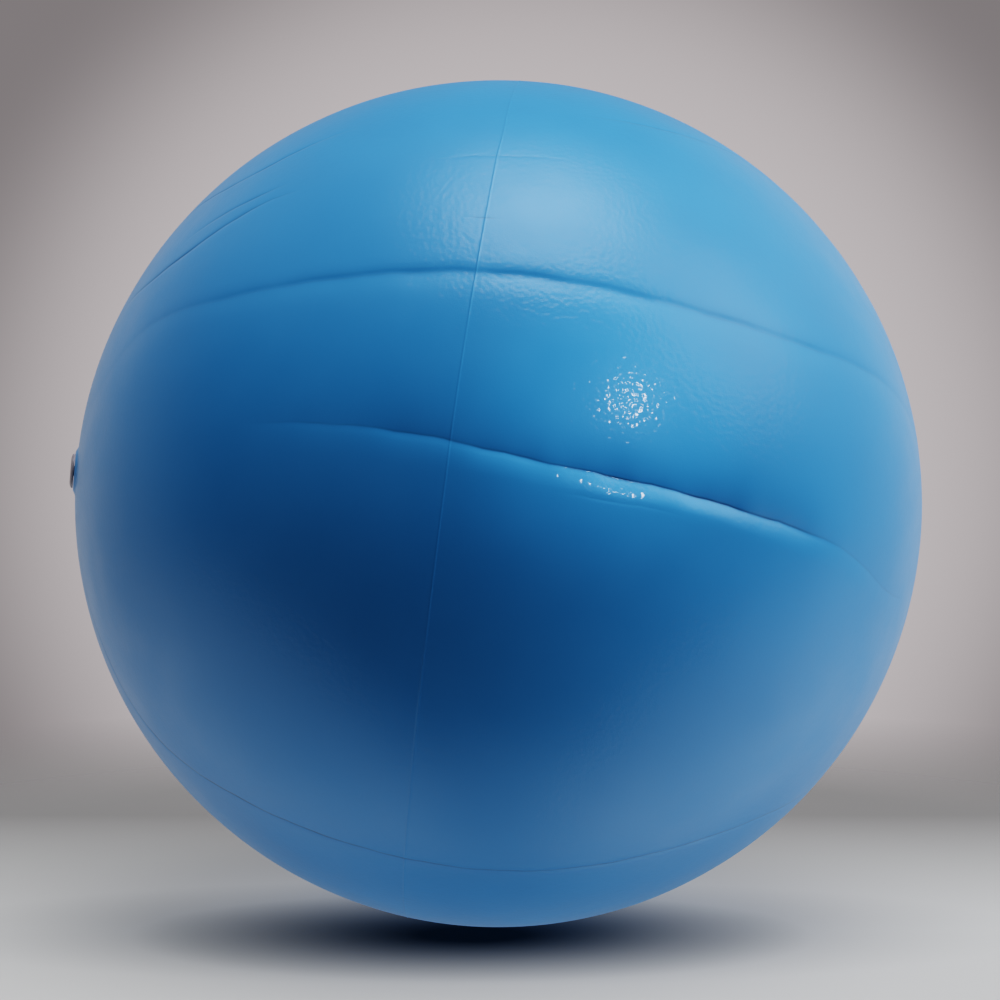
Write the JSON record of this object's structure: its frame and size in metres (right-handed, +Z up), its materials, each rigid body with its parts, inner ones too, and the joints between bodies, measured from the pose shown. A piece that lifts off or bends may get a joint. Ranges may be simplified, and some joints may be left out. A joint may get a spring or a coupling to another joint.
{
  "type": "exercise ball",
  "caption": "Inflated round exercise ball of soft plastic, with a valve in its side that a pull-out plug closes.",
  "frame": {"origin": "centre of the flat patch on which the ball rests", "axes": "+Z up; the valve points along -X, 5 degrees above the horizontal; Y completes the frame"},
  "size_m": [0.6542, 0.65, 0.6482],
  "materials": {
    "ball_skin": "satin",
    "valve_seat": "satin",
    "plug": "satin"
  },
  "bodies": {
    "ball": {"ball_skin": "ball_skin", "valve_seat": "valve_seat"},
    "plug": {"plug": "plug"}
  },
  "joints": [
    {"name": "plug_pull", "type": "slide", "parent": "ball", "child": "plug", "axis": [-0.9962, 0, 0.0872], "range_m": [0, 0.04]}
  ]
}
